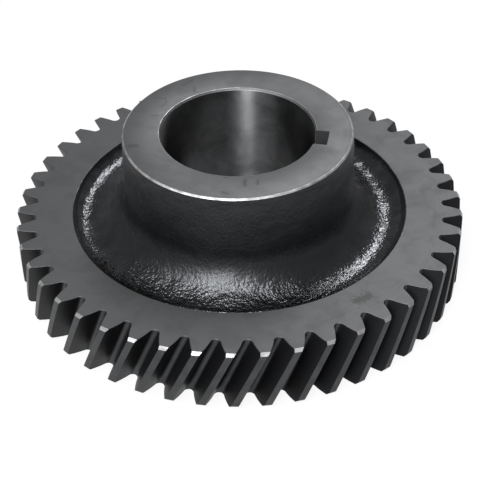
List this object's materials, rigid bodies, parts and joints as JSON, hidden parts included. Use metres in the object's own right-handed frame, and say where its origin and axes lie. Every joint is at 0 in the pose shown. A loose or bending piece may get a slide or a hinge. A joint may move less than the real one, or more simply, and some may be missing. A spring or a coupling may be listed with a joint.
{
  "type": "helical gear",
  "caption": "Single-helix gear with a flat toothed rim, a dished forged web, a tall drafted hub and a keyed through bore.",
  "frame": {"origin": "centre of the bore at the back face, which is the lowest plane of the part", "axes": "+Z along the bore from the back face to the hub's face, +X through the middle of the keyway"},
  "size_m": [0.2084, 0.2084, 0.0717],
  "materials": {
    "steel": "machined satin, with the web and hub wall left as forged"
  },
  "bodies": {
    "root": {"helical_gear": "steel"}
  },
  "joints": []
}
